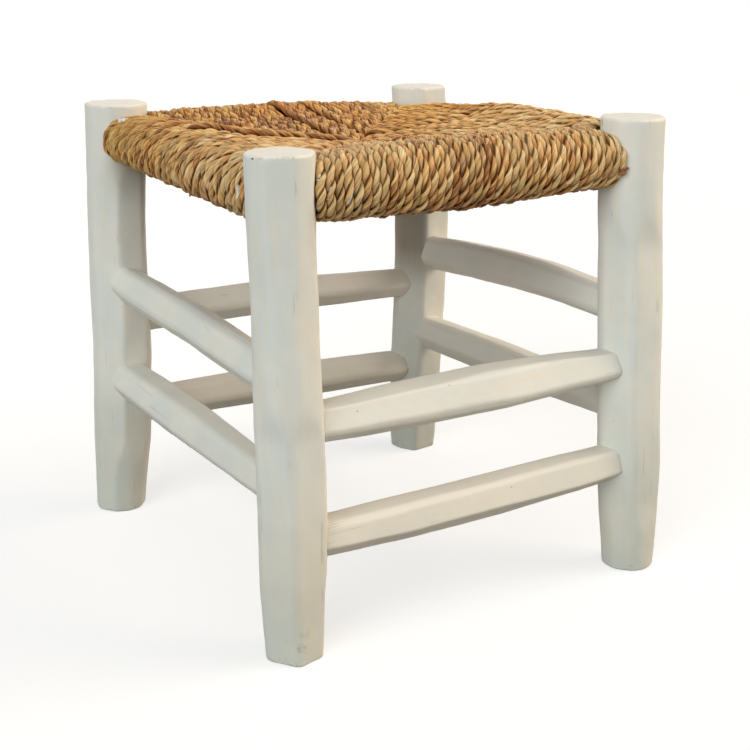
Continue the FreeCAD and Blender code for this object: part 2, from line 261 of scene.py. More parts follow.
def makePaintedWood():
    # matt paint brushed along the stick, over grain that shows through, with pits, scuffs and worn rims
    n = Nodes(bpy.data.materials.new("paintedWood"))
    place = n.objectSpace()
    grain = n.attribute("grainSpace", "Vector")
    brush = n.noise(n.stretch(grain, (12, 160, 160)), 1, 3)
    fine = n.noise(n.stretch(grain, (45, 900, 900)), 1, 3, 0.6)
    lines = n.noise(n.stretch(grain, (9, 300, 300)), 1, 2, 0.5, 0.4)
    split = n.times(n.ramp(lines, 0.345, 0.315), n.ramp(n.noise(place, 24, 1), 0.52, 0.62))
    pits = n.times(n.ramp(n.cells(place, 70), 0.075, 0.05), n.ramp(n.noise(place, 31, 0), 0.69, 0.72))
    wear = n.times(n.attribute("wear"), n.ramp(n.noise(place, 130, 4, 0.65), 0.5, 0.7))
    dirt = n.times(n.attribute("dirt"), n.ramp(n.noise(place, 75, 5, 0.75), 0.44, 0.7))
    base = n.layers(paint["greyWhite"],
                    (n.ramp(n.noise(place, 16, 3), 0.38, 0.66), paint["white"]),
                    (n.ramp(brush, 0.45, 0.75, 0, 0.6), paint["warmWhite"]),
                    (n.ramp(fine, 0.62, 0.8, 0, 0.10), paint["dirt"]),
                    # cream tint and painted light: it brightens rungs that lie in shadow
                    (n.times(n.attribute("cream"), 0.75), paint["cream"]),
                    (n.ramp(wear, 0.15, 0.95, 0, 0.6), paint["wornEdge"]),
                    (n.ramp(dirt, 0.05, 0.8, 0, 0.55), paint["dirt"]),
                    (n.times(split, 0.22), paint["dirt"]),
                    (n.times(pits, 0.35), paint["pit"]))
    for centre, radius, stretch, strength in paint["marks"]:
        away = n.distance(place, centre, (1, 1, 1 / stretch))
        base = n.mix(n.ramp(away, radius, radius * 0.4, 0, strength), base, paint["pit"])
    # painted shadow: the posts turn darker under the seat and the rope
    base = n.mix(n.times(n.attribute("shade"), 0.8), base, paint["shade"], "MULTIPLY")
    # painted shade: the paint turns darker towards the floor
    base = n.mix(n.ramp(n.part(place, "Z"), 0.2, 0.05), base, paint["paintedFloorShade"], "MULTIPLY")
    height = n.math("ADD", n.times(brush, 0.8), n.times(fine, 0.2))
    height = n.math("SUBTRACT", height, n.times(split, 0.5))
    height = n.math("SUBTRACT", height, n.times(pits, 0.6))
    normal = n.bump(n.noise(place, 55, 4, 0.6), 0.0012, 0.3, n.bump(height, 0.0005, 0.45))
    return n.finish({"Base Color": base, "Roughness": n.ramp(brush, 0.3, 0.7, *paint["roughness"]),
                     "Normal": normal, "Specular IOR Level": 0.35})


rope = {
    "pale": colour(255, 226, 172),
    "straw": colour(236, 187, 118),
    "tan": colour(204, 143, 76),
    "brown": colour(130, 74, 30),
    "green": colour(206, 182, 128),
    "russet": colour(208, 128, 66),
    # painted shade for the hollows
    "paintedShade": colour(66, 34, 12),
    "paintMark": colour(236, 233, 224),
    "backTint": colour(255, 246, 206),
}


def makeSeatRope():
    # twisted leaf: streaks run along each ply, tones change from ply to ply, hollows get painted shade
    n = Nodes(bpy.data.materials.new("seatRope"))
    place = n.objectSpace()
    fibre = n.attribute("fibreSpace", "Vector")
    tone, hue, hollow = n.attribute("tone"), n.attribute("hue"), n.attribute("hollow")
    streak = n.noise(n.stretch(fibre, (50, 950, 950)), 1, 4, 0.65)
    broad = n.noise(n.stretch(fibre, (30, 420, 420)), 1, 3, 0.6)
    blotch = n.noise(fibre, 210, 3, 0.6)
    # the tone carries the leaves' own tone, with painted highlight on their crests and painted shade on flanks and
    # underside
    shade = n.math("ADD", tone, n.times(n.math("SUBTRACT", broad, 0.5), 1.3))
    mark = n.times(n.attribute("postTouch"), n.ramp(n.noise(place, 420, 3, 0.6), 0.3, 0.5))
    base = n.layers(rope["brown"],
                    (n.ramp(shade, 0.05, 0.5), rope["tan"]), (n.ramp(shade, 0.3, 0.72), rope["straw"]),
                    (n.ramp(shade, 0.64, 0.98), rope["pale"]), (n.ramp(hue, 0.55, 0.90, 0, 0.55), rope["green"]),
                    (n.ramp(hue, 0.42, 0.12, 0, 0.4), rope["russet"]),
                    (n.ramp(streak, 0.5, 0.3, 0, 0.75), rope["brown"]),
                    (n.ramp(streak, 0.54, 0.70, 0, 0.7), rope["pale"]),
                    (n.ramp(blotch, 0.62, 0.76, 0, 0.4), rope["brown"]))
    base = n.mix(n.ramp(n.part(place, "Y"), -0.08, 0.12), base, rope["backTint"], "MULTIPLY")
    # painted shade in the hollows, then the posts' paint rubbed onto the rope
    base = n.layers(base, (n.times(hollow, 0.78), rope["paintedShade"]), (n.ramp(mark, 0.35, 0.55), rope["paintMark"]))
    normal = n.bump(n.math("ADD", streak, n.times(broad, 1.5)), 0.0011, 0.9)
    return n.finish({"Base Color": base, "Roughness": n.ramp(streak, 0.3, 0.7, 0.60, 0.42), "Normal": normal,
                     "Specular IOR Level": n.ramp(hollow, 0, 0.6, 0.36, 0.03)})


# The posts, in metres

stool = {
    "height": 0.420,
    "halfTop": (0.17425, 0.1776),  # half the distance between the posts, in x and y
    "halfFoot": (0.18125, 0.1936),
    "postDiameter": 0.057,
    "seatRailHeight": 0.3895,
    "stations": (0, 0.08, 0.17, 0.27, 0.38, 0.5, 0.62, 0.75, 0.88, 1),
    "swayWay": (0.858, -0.5135),  # the way in which the posts sway, in x and y
}

# for each post: its sides of the seat, the lean of its top and foot, its rise over the stool's height; at each
# station (a share of the height) its sway in millimetres and its girth; where its flats begin, in radians; chosen
# cuts as (direction at the low and the high end, depth, low end, high end); the scuffed side of the foot and how
# much; and the painted shadow under the seat as (direction, half width, softness, where it begins, where it is
# full, strength). Directions are in degrees
posts = {
    "front_left_post": {
        "sides": (-1, -1), "topLean": (-0.0021, -0.0032), "footLean": (0.0026, -0.0005), "rise": -0.0016,
        "sways": (-0.2, -0.2, 0.6, 0.9, 1.4, 0.6, 0.1, 0.3, -0.2, -0.3),
        "girths": (0.873, 0.915, 0.979, 0.993, 0.990, 0.985, 0.950, 0.935, 0.960, 0.968), "flatTurn": -1.20, "seed": 11,
        "cuts": ((-143, -155, 0.16, -0.06, 0.23), (-73, -85, 0.16, -0.06, 0.23), (-117, -117, 0.115, 0.30, 0.50)),
        "scuff": (-116, 1.0), "shade": (-30, 30, 0.5, 0.330, 0.372, 0.35),
    },
    "front_right_post": {
        "sides": (1, -1), "topLean": (-0.0017, -0.0045), "footLean": (0.0004, -0.0039), "rise": 0.0026,
        "sways": (-0.5, -0.3, 0.0, 0.2, -0.4, -0.8, -0.2, -1.3, -1.1, 0.2),
        "girths": (0.835, 0.925, 0.995, 1.028, 1.026, 1.006, 1.014, 1.002, 1.015, 1.006), "flatTurn": 0.4, "seed": 22,
        "cuts": ((-156, -160, 0.14, 0.03, 0.35), (-88, -92, 0.14, 0.03, 0.35)),
        "scuff": (-60, 0.25), "shade": (-190, 35, 0.5, 0.330, 0.372, 0.35),
    },
    "back_left_post": {
        "sides": (-1, 1), "topLean": (0.0012, -0.0027), "footLean": (-0.0024, -0.0006), "rise": 0.0013,
        "sways": (-0.9, 0.3, 2.2, 2.8, 3.2, 2.3, 0.8, 0.0, 0.3, 0.7),
        "girths": (0.890, 0.935, 1.015, 1.026, 1.025, 1.010, 0.994, 0.982, 1.010, 1.030), "flatTurn": 1.1, "seed": 33,
        "cuts": ((-130, -130, 0.11, 0.05, 0.38), (-82, -82, 0.12, 0.05, 0.38)),
        "scuff": (-60, 0.25), "shade": (-70, 48, 0.7, 0.325, 0.368, 0.70),
    },
    "back_right_post": {
        "sides": (1, 1), "topLean": (0.0017, -0.0046), "footLean": (-0.0022, -0.0080), "rise": -0.0014,
        "sways": (-0.4, -0.1, 1.4, 2.5, 3.8, 5.4, 5.9, 5.6, 3.4, 0.1),
        "girths": (0.853, 0.931, 0.978, 1.005, 1.008, 1.015, 1.029, 1.038, 1.030, 1.010), "flatTurn": 2.0, "seed": 44,
        "cuts": ((-148, -148, 0.14, -0.06, 0.50), (-79, -79, 0.14, -0.06, 0.50)),
        "scuff": (-60, 0.25), "shade": (-165, 52, 0.25, 0.200, 0.245, 0.85),
    },
}

hewing = {
    "rows": 190, "columns": 112,
    "footRound": 0.0022, "topRound": 0.0024,
    "spareTop": 0.0026, "spareGirth": 1.028,  # added before the rounds and flats are cut
    "flats": 7, "depth": 0.065, "softness": 0.0006,
    "footDepth": 0.05, "footEnds": 0.105, "footFade": 0.05,  # deeper cuts on the foot's taper
    "ripple": 0.0003, "rings": 0.00025, "sawMarks": 0.00022,
    "chip": 0.0016, "chipDrop": 0.0011, "chipReach": 0.005,
    "topCream": 0.6,
}


def postAxis(name, z):
    # from the foot to the top in a straight line, plus the sways
    post = posts[name]
    share = z / stool["height"]
    sway = smoothCurve(share, stool["stations"], post["sways"]) * 0.001
    places = []
    for i in (0, 1):
        top = post["sides"][i] * stool["halfTop"][i] + post["topLean"][i]
        foot = post["sides"][i] * stool["halfFoot"][i] + post["footLean"][i]
        places.append(foot + (top - foot) * share + sway * stool["swayWay"][i])
    return np.stack(places + [z], -1)


def postGirth(name, z):
    # radius of a post before it is hewn, from the foot's taper to the top
    curve = smoothCurve(z / stool["height"], stool["stations"], posts[name]["girths"])
    return curve * stool["postDiameter"] / 2 * hewing["spareGirth"]


def hewnRadius(radius, angle, along, flats, depth, seed, soft=0.0004, loose=0.28, cuts=()):
    # the radius of a round stick cut by long flats: each flat is a line at its own distance, which comes
    # and goes along the stick, and the cuts meet the round in a soft minimum. Chosen cuts turn from one
    # direction to another, and have a depth and two ends
    rng = np.random.default_rng(seed)
    total = 1.0

    def lineAt(middle, cut):
        turn = np.clip(angleFrom(middle, angle), -1.2, 1.2)
        return np.exp(-radius * ((1 - cut) / np.cos(turn) - 1) / soft)

    for i in range(flats):
        middle = 2 * math.pi * (i + rng.uniform(-loose, loose)) / flats
        middle = middle + loose * 0.5 * waves(along * 14, seed + 7 * i, 2)
        steady = 1 - 0.4 * loose / 0.28
        share = steady + (1 - steady) * 1.25 * waves(along * rng.uniform(12, 26), seed + 13 * i, 3)
        total = total + lineAt(middle, depth * share * rng.uniform(0.8, 1.2))
    for (first, last), cut, low, high in cuts:
        middle = first + (last - first) * fade((along - low) / (high - low))
        inside = fade((along - low) / 0.04) * fade((high - along) / 0.04)
        inside = inside * inside * (3 - 2 * inside)
        total = total + lineAt(middle + 0.04 * waves(along * 30, seed + 90, 2), cut * inside)
    return radius - soft * np.log(total)


def buildPost(name, material):
    post, seed = posts[name], posts[name]["seed"]
    top = stool["height"] + post["rise"] + hewing["spareTop"]
    footRound, topRound = hewing["footRound"], hewing["topRound"]
    side = np.linspace(footRound, top - topRound, hewing["rows"])
    quarter = np.linspace(0, math.pi / 2, 6)[:-1]
    discs = np.array([0.2, 0.45, 0.7, 0.88])
    inner = len(discs)
    # rows run from the middle of the foot, over its round, up the side, over the top round and to the middle
    z = np.concatenate([np.zeros(inner), footRound * (1 - np.cos(quarter)), side,
                        top - topRound * (1 - np.cos(quarter[::-1])), np.full(inner, top)])
    lost = np.concatenate([np.full(inner, footRound), footRound * (1 - np.sin(quarter)), np.zeros(len(side)),
                           topRound * (1 - np.sin(quarter[::-1])), np.full(inner, topRound)])
    share = np.concatenate([discs, np.ones(len(z) - 2 * inner), discs[::-1]])[:, None]
    a, zz = np.meshgrid(ringAngles(hewing["columns"]), z)
    radius = np.broadcast_to(postGirth(name, z)[:, None], a.shape)
    depth = hewing["depth"] + hewing["footDepth"] * fade((hewing["footEnds"] - zz) / hewing["footFade"])
    turn = post["flatTurn"]
    cuts = [((math.radians(c[0]) - turn, math.radians(c[1]) - turn), *c[2:]) for c in post["cuts"]]
    hewn = hewnRadius(radius, a - turn, zz, hewing["flats"], depth, seed, hewing["softness"], cuts=cuts)
    hewn = hewn + hewing["ripple"] * waves(3 * a + 6 * np.sin(zz * 9 + seed), seed + 1, 2)
    hewn = hewn + hewing["rings"] * waves(zz * 60 + 2 * np.sin(a + 1), seed + 2, 3)
    # chips take a little off the rim here and there
    chip = fade(waves(a * 5 + 2 * np.sin(a * 3), seed + 5, 4) - 0.15)
    nearRim = fade(1 - (top - zz) / hewing["chipReach"]) * (share > 0.95)
    edge = (hewn - lost[:, None] - hewing["chip"] * chip * nearRim ** 2) * share
    saw = hewing["sawMarks"] * waves(edge * np.cos(a + 0.5) * 420, seed + 9, 3) * (zz > top - 1e-6)
    outX, outY = edge * np.cos(a), edge * np.sin(a)
    axis = postAxis(name, z)[:, None]
    points = np.stack([axis[..., 0] + outX, axis[..., 1] + outY,
                       zz + saw - hewing["chipDrop"] * chip * nearRim ** 2], -1)
    points[..., 2] = np.maximum(points[..., 2], 0.0)
    rim = np.exp(-((zz - (top - 0.0015)) / 0.0018) ** 2) * (share > 0.95)
    rim = rim + np.exp(-((zz - 0.003) / 0.005) ** 2)
    # scuffs are strongest at one side of the foot
    way, strength = post["scuff"]
    fromScuff = angleFrom(math.radians(way), a)
    dirt = fade(1 - zz / 0.05) * (0.25 + 0.75 * np.exp(-(fromScuff / 0.55) ** 2)) * strength
    # a painted shadow where the seat keeps the post in the dark: it fades out downwards and at its two sides
    middle, half, soft, low, high, strength = post["shade"]
    apart = np.abs(angleFrom(math.radians(middle), a))
    seatShadow = fade(0.5 + (math.radians(half) - apart) / soft) * fade((zz - low) / (high - low))
    seatShadow = seatShadow * fade((0.385 - zz) / 0.01) * strength
    skin = Skin()
    skin.tube(points, grainSpace=np.stack([zz + seed, outX, outY], -1), wear=fade(rim), dirt=dirt, shade=seatShadow,
              cream=hewing["topCream"] * fade((zz - (top - 0.0020)) / 0.001))
    piece = skin.build(name.replace("_post", "_leg"), material)
    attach(piece, "root")
    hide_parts(name)


# each rung, from the front or left post on: heights at the two posts, upward bow, girths at the first end, middle and
# other end, flats as (number, direction of the first in degrees, depth), seed, how much cream its paint has (a warm
# tint that is also painted light where the rung lies in shadow), and how far its other end strays sideways
rungs = {
    "front_upper_rung": ((0.1997, 0.2006), 0.0008, (0.0335, 0.0422, 0.0325), (5, 13, 0.15), 101, 0.2, 0),
    "front_lower_rung": ((0.1003, 0.1063), -0.0020, (0.0338, 0.0380, 0.0340), (5, 19, 0.15), 102, 0.9, 0),
    "back_upper_rung": ((0.2076, 0.2019), 0.0021, (0.0332, 0.0344, 0.0298), (5, 36, 0.12), 103, 0.6, 0),
    "back_lower_rung": ((0.1088, 0.1024), 0.0014, (0.0332, 0.0364, 0.0332), (6, 20, 0.10), 104, 1, 0),
    "left_upper_rung": ((0.2348, 0.2472), 0.0018, (0.0335, 0.0358, 0.0340), (5, 146, 0.14), 105, 0, 0),
    "left_lower_rung": ((0.1402, 0.1452), 0.0012, (0.0312, 0.0386, 0.0385), (5, 150, 0.14), 106, 0, 0),
    "right_upper_rung": ((0.2511, 0.2378), 0.0062, (0.0326, 0.0374, 0.0380), (5, 160, 0.13), 107, 0.5, 0.004),
    "right_lower_rung": ((0.1560, 0.1456), -0.0008, (0.0302, 0.0360, 0.0355), (6, 150, 0.10), 108, 0.6, 0),
}

whittling = {
    "columns": 80, "endRows": 50, "middleRows": 90, "endLength": 0.03,
    "inset": 0.011,  # the tip ends this far from the post's centre line
    "face": 0.0265,  # where the post's surface is
    "shoulder": 0.36, "shoulderLength": 0.030, "tipRound": 0.004,
    "spareGirth": 1.045, "softness": 0.0002, "looseness": 0.13,
    "ripple": 0.0002, "sway": 0.0011,
    "fillet": 0.0013, "filletReach": 0.0035,
}


def buildRung(name, material):
    heights, bow, (first, middle, last), (flats, turn, depth), seed, cream, aside = rungs[name]
    make = whittling
    ends = [post for post in posts if name.split("_")[0] in post]
    start, end = (postAxis(post, z) for post, z in zip(ends, heights))
    length = np.linalg.norm(end - start)
    along = (end - start) / length
    across = unit(np.cross(along, (0, 0, 1)))
    upward = np.cross(across, along)
    inset, face = make["inset"], make["face"]
    low, high = face + make["endLength"], length - face - make["endLength"]
    s = np.concatenate([np.linspace(inset, low, make["endRows"]), np.linspace(low, high, make["middleRows"])[1:-1],
                        np.linspace(high, length - inset, make["endRows"])])
    inside = fade((s - face) / (length - 2 * face))
    swell = smoothCurve(inside, (0, 0.17, 0.38, 0.58, 0.8, 1), (0, 0.55, 0.92, 1, 0.6, 0))
    body = (first + (last - first) * inside + swell * (middle - (first + last) / 2)) / 2
    near = np.minimum(s - inset, length - inset - s)
    shoulder = 1 - make["shoulder"] * fade(1 - near / make["shoulderLength"]) ** 2.6
    tip = np.sqrt(fade(1 - (1 - fade(near / make["tipRound"])) ** 2))
    radius = body * shoulder * (0.55 + 0.45 * tip)
    a, ss = np.meshgrid(ringAngles(make["columns"]), s)
    r = np.broadcast_to(radius[:, None], a.shape) * make["spareGirth"]
    edge = hewnRadius(r, a - math.radians(turn), ss, flats, depth, seed, make["softness"], make["looseness"])
    edge = edge + make["ripple"] * waves(ss * 70 + np.sin(a), seed + 3, 3)
    arch = np.sin(math.pi * inside)
    raised = bow * arch
    swayed = make["sway"] * waves(inside * 5, seed + 4, 2) * arch + aside * inside
    centre = start + s[:, None] * along + raised[:, None] * upward + swayed[:, None] * across
    ring = np.cos(a)[..., None] * across + np.sin(a)[..., None] * upward
    points = centre[:, None] + edge[..., None] * ring
    # paint fills the corner where the rung meets a post
    for post in ends:
        axis = postAxis(post, points[..., 2])
        gap = np.hypot(points[..., 0] - axis[..., 0], points[..., 1] - axis[..., 1])
        gap = np.clip(gap - 0.965 * postGirth(post, points[..., 2]), 0, None)
        edge = edge + make["fillet"] * np.exp(-gap / make["filletReach"]) * (near[:, None] > 0.002)
    points = centre[:, None] + edge[..., None] * ring
    grain = np.stack([ss + seed, edge * np.cos(a), edge * np.sin(a)], -1)
    skin = Skin()
    # across, upward and along make a left-handed set, so the columns run the other way round
    skin.tube(points[:, ::-1], grainSpace=grain[:, ::-1], wear=0, dirt=0, shade=0, cream=cream)
    piece = skin.build(name.replace("_rung", "_stretcher"), material)
    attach(piece, "root")
    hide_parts(name)


# The seat: 40 strands over each rail, in the envelope pattern

seat = {
    "perCorner": 20,
    "wrapRadius": 0.0199,
    "firstReach": 0.0325, "reachStep": 0.0073,  # how far in the strands go: the first one, and each more
    "overlap": (-0.0022, 0.0028),  # the halves of two rails meet on the diagonal, one above the other
    "strays": (0.0004, 0.0008, 0.0009, 0.0005),  # random, of a strand's place, reach, crown and wrap
    "bellyStray": 0.0005,
    "crownAt": 0.016, "crownWidth": 0.024,
    "plyOffset": 0.0021,  # from the strand's line to the middle of a ply
    "plyWidth": 0.0056,
    "plyDepth": 0.0044,
    "plyBend": 0.0075,  # radius of a leaf's bend across its width
    "edgeLift": 0.16,  # slope of a ply's section, so that one edge stands over the next ply
    "foldWidth": 0.16, "foldDepth": 0.2,
    "lay": 0.0315,  # length in which a ply goes once round
    "ringStep": 0.0017,
    "seenBelow": 0.024, "hiddenStep": 1.6,  # this far past the outermost point, rings lie further apart
    "smoothing": 0.0032,
    "valleyDrop": 0.0175,  # how much lower the middle is than the corners, on top
    "underRise": 0.006,
    "cornerDrop": 0.008,  # the back right corner sits this much lower
    # waves along a strand: height, rate per metre, seed step and number of sines
    "ripples": {"twist": (0.6, 45, 0, 3), "size": (0.06, 110, 1, 3), "turn": (0.18, 130, 6, 2),
                "offset": (0.08, 140, 8, 2), "width": (0.17, 150, 2, 3), "depth": (0.13, 150, 4, 3),
                "lift": (0.7, 90, 12, 2), "fold": (0.55, 45, 18, 2), "crease": (0.6, 75, 19, 2),
                "tone": (0.22, 60, 14, 3), "hue": (0.19, 50, 16, 3)},
    # patches of another tone (darker or paler) and hue (redder or greener): place, radius and the two changes
    "patches": ((-0.16, -0.19, 0.09, 0, 0.22), (0, -0.20, 0.06, -0.15, 0), (-0.20, 0.05, 0.09, -0.18, 0.12),
                (-0.19, 0.14, 0.08, -0.07, 0.42), (0, -0.03, 0.05, -0.14, 0), (-0.03, 0.10, 0.06, -0.14, 0.05),
                (-0.10, -0.165, 0.05, -0.06, 0), (0.13, 0.16, 0.06, 0.15, 0.30), (-0.09, 0.16, 0.06, 0.10, 0.14),
                (-0.06, -0.135, 0.05, -0.10, 0), (0.07, 0.02, 0.07, -0.06, 0)),
    # where the posts' paint has rubbed off on the rope: place, half width and half height
    "paintSpots": ((-0.1520, -0.1995, 0.4010, 0.0018, 0.0045), (-0.1525, -0.2005, 0.3830, 0.0016, 0.0060),
                   (-0.1270, -0.2035, 0.3855, 0.0019, 0.0075), (-0.1300, -0.2025, 0.3735, 0.0014, 0.0040),
                   (-0.1455, -0.2030, 0.3900, 0.0009, 0.0060), (-0.1790, 0.1385, 0.4105, 0.0045, 0.0030),
                   (-0.1990, -0.1500, 0.3870, 0.0020, 0.0050), (0.1450, -0.2020, 0.3950, 0.0014, 0.0035),
                   (0.1960, 0.1440, 0.3850, 0.0030, 0.0050), (-0.1460, 0.1960, 0.3920, 0.0030, 0.0050)),
}

# for each rail: the posts at its ends, the way out, how loose the twist is at its start, middle and end, and for its
# two halves, from the post to mid rail, how far the top stands over the wrap and how far the winding hangs below it;
# gaps in the top as (half, strand before it, width), and strands that ride high or low as (half, strand, height)
rails = {
    "front": {
        "posts": ("front_left_post", "front_right_post"), "outward": (0, -1), "seed": 1, "slack": (0.82, 0.88, 0.97),
        "crown": ((0.001, 0.005, 0.006), (0.002, 0.005, 0.006)),
        "belly": ((0.0030, 0.0050, 0.0070), (0.0018, 0.0038, 0.0070)),
        "gaps": ((1, 9, 0.0020), (0, 12, 0.0010)),
        "lifts": ((1, 9, 0.0010), (0, 12, 0.0006)),
    },
    "right": {
        "posts": ("front_right_post", "back_right_post"), "outward": (1, 0), "seed": 2, "slack": (0.80, 0.80, 0.82),
        "crown": ((0.007, 0.0110, 0.0115), (-0.001, 0.0045, 0.0115)),
        "belly": ((0.001, 0.002, 0.003), (0.001, 0.002, 0.003)),
        "gaps": ((1, 16, 0.0020), (0, 10, 0.0012)),
        "lifts": ((1, 16, 0.0010), (1, 17, -0.0008), (0, 8, 0.0008)),
    },
    "back": {
        "posts": ("back_right_post", "back_left_post"), "outward": (0, 1), "seed": 3, "slack": (1.25, 1.3, 1.2),
        "crown": ((-0.002, 0.0042, 0.0070), (0.002, 0.0055, 0.0070)),
        "belly": ((0.001, 0.002, 0.003), (0.001, 0.002, 0.003)),
        "gaps": ((0, 16, 0.0022), (1, 17, 0.0020)),
        "lifts": ((0, 16, 0.0012), (0, 15, 0.0008), (0, 17, -0.0010), (1, 18, 0.0010), (1, 17, -0.0010)),
    },
    "left": {
        "posts": ("back_left_post", "front_left_post"), "outward": (-1, 0), "seed": 4, "slack": (0.72, 0.85, 0.95),
        "crown": ((0.002, 0.005, 0.006), (0.001, 0.004, 0.006)),
        "belly": ((-0.0024, -0.0004, 0.0016), (0.0056, 0.0042, 0.0016)),
        "gaps": ((0, 18, 0.0010), (1, 11, 0.0014)),
        "lifts": ((0, 19, 0.0036), (0, 18, 0.0016), (0, 17, 0.0008),
                  (1, 19, -0.0022), (1, 18, -0.0015), (1, 17, -0.0008)),
    },
}


def seatDrop(x, y):
    # nothing along the front and left rails, and a straight fall from them to the back right corner
    halfX, halfY = stool["halfTop"]
    return -seat["cornerDrop"] * fade((x + halfX) / (2 * halfX)) * fade((y + halfY) / (2 * halfY))


def plySection():
    # one ply's section: a leaf folded into a lens, seen as (across the ply, outwards), with two crisp edges
    across = np.array([-1.0, -0.94, -0.78, -0.56, -0.32, -0.08, 0.16, 0.38, 0.60, 0.82, 0.96, 1.0, 0.60, 0.0, -0.60])
    outwards = np.array([0.0, 0.26, 0.54, 0.76, 0.91, 0.99, 1.0, 0.95, 0.84, 0.62, 0.30, 0.0, -0.75, -1.0, -0.80])
    return across, outwards


def strandRoute(rail, half, i):
    # one strand's centre line: out of the middle, over the seat, round the rail and back below
    one = rails[rail]
    outward = np.array(one["outward"] + (0,), float)
    a, b = (postAxis(name, stool["seatRailHeight"]) for name in one["posts"][::1 if half == 0 else -1])
    along = unit(b - a)
    rng = np.random.default_rng(1000 * one["seed"] + 100 * half + i)
    postRadius = stool["postDiameter"] / 2 * posts[one["posts"][half]]["girths"][-2]
    start = postRadius + 0.0004
    pitch = (np.linalg.norm((b - a)[:2]) / 2 - start) / seat["perCorner"]
    placeStray, reachStray, crownStray, wrapStray = (rng.uniform(-1, 1) * size for size in seat["strays"])
    place = start + (i + 0.5) * pitch + placeStray
    share = (i + 0.5) / seat["perCorner"]
    reach = seat["firstReach"] + (i + 0.5) * seat["reachStep"] + reachStray
    over = seat["overlap"][half]
    drop = 0.0015 + seat["valleyDrop"] * share ** 1.5
    wrap = seat["wrapRadius"] + wrapStray
    crown = smoothCurve(share, (0, 0.5, 1), one["crown"][half]) + crownStray
    under = -wrap + seat["underRise"] * share
    hug = max(0.0, 1 - i / 8) ** 1.3 * rng.uniform(0.85, 1.0)
    belly = smoothCurve(share, (0, 0.5, 1), one["belly"][half]) + rng.uniform(-1, 1) * seat["bellyStray"]

    def topLevel(x):
        # the wrap's top, plus a crown just inside the rail, less a fall that steepens to the valley
        hill = np.exp(-((x - seat["crownAt"]) / seat["crownWidth"]) ** 2)
        return wrap + crown * hill - drop * (x / reach) ** 1.7

    def chord(x):
        # how far the round post falls back at x from its middle
        return postRadius - math.sqrt(max(postRadius ** 2 - x * x, 0.0001))

    # it comes up inside the seat and runs over it to the rail
    end = topLevel(reach) + over
    route = [(reach + 0.005, 0, end - 0.014), (reach + 0.0052, 0, end - 0.006), (reach + 0.001, 0, end)]
    route += [(x, 0, topLevel(x) + over * max(0.0, 1 - (reach - x) / 0.02))
              for x in np.linspace(reach - 0.007, 0.006, max(2, int(reach / 0.012)))]
    # half a turn round the rail, where the first strands hug the post
    for turn in np.linspace(math.pi / 2, -math.pi / 2, 9):
        out = wrap * math.cos(turn)
        raised = (topLevel(0.0) - wrap) * max(0.0, math.sin(turn)) ** 2
        raised -= belly * max(0.0, -math.sin(turn)) ** 1.5
        route.append((-out, -hug * chord(out), wrap * math.sin(turn) + raised))
    # back below with a little sag, and up inside again
    sag = 0.0012 * rng.uniform(0, 1)
    for u in (0.25, 0.5, 0.75):
        route.append((reach * u, 0, -wrap - belly * (1 - u) + (under + wrap) * u - sag * math.sin(math.pi * u)))
    route += [(reach - 0.006, 0, under - over * 0.6), (reach + 0.001, 0, under - over * 0.6),
              (reach + 0.005, 0, under + 0.006), (reach + 0.005, 0, under + 0.012)]
    route = np.array(route)

    # the corners of this route are rounded by a running mean, in steps of a millimetre
    step, window = 0.001, 12
    steps = pathLengths(route)
    fine = np.arange(0, steps[-1], step)
    line = readPath(fine, steps, route)
    kernel = np.exp(-0.5 * (np.arange(-window, window + 1) / (seat["smoothing"] / step)) ** 2)
    kernel /= kernel.sum()
    padded = np.pad(line, ((window, window), (0, 0)), "edge")
    line = np.stack([np.convolve(padded[:, j], kernel, "valid") for j in range(3)], -1)
    wander = fade(line[:, 0] / 0.02)
    line[:, 1] += 0.0006 * waves(fine * 55, 77 + i + 50 * one["seed"], 2) * wander
    above = line[:, 2] > 0
    for side, before, width in one["gaps"]:
        if side == half and i > before:
            line[:, 1] += width * max(0.0, 1 - (i - before - 1) / 6) * wander * above
        elif side == half and i > before - 3:
            line[:, 1] -= 0.4 * width * (1 - (before - i) / 3) * wander * above
    for side, strand, height in one["lifts"]:
        line[:, 2] += height * (side == half and i == strand) * wander * above
    line[:, 2] += 0.0005 * waves(fine * 70, 99 + i + 50 * one["seed"], 2)
    upward = np.array((0, 0, 1.0))
    spot = a + along * place - outward * line[:, :1] + along * line[:, 1:2] + upward * line[:, 2:]
    spot[:, 2] += seatDrop(spot[:, 0], spot[:, 1])
    # the strand faces outwards round the rail, and up or down elsewhere
    onWrap = fade(-line[:, :1] / seat["wrapRadius"])
    facing = upward * line[:, 2:] / seat["wrapRadius"] * onWrap + outward * onWrap
    facing = facing + (1 - onWrap) * (upward * np.sign(line[:, 2:]) - 0.6 * outward)
    return spot, facing, fine[np.argmin(line[:, 0])], rng


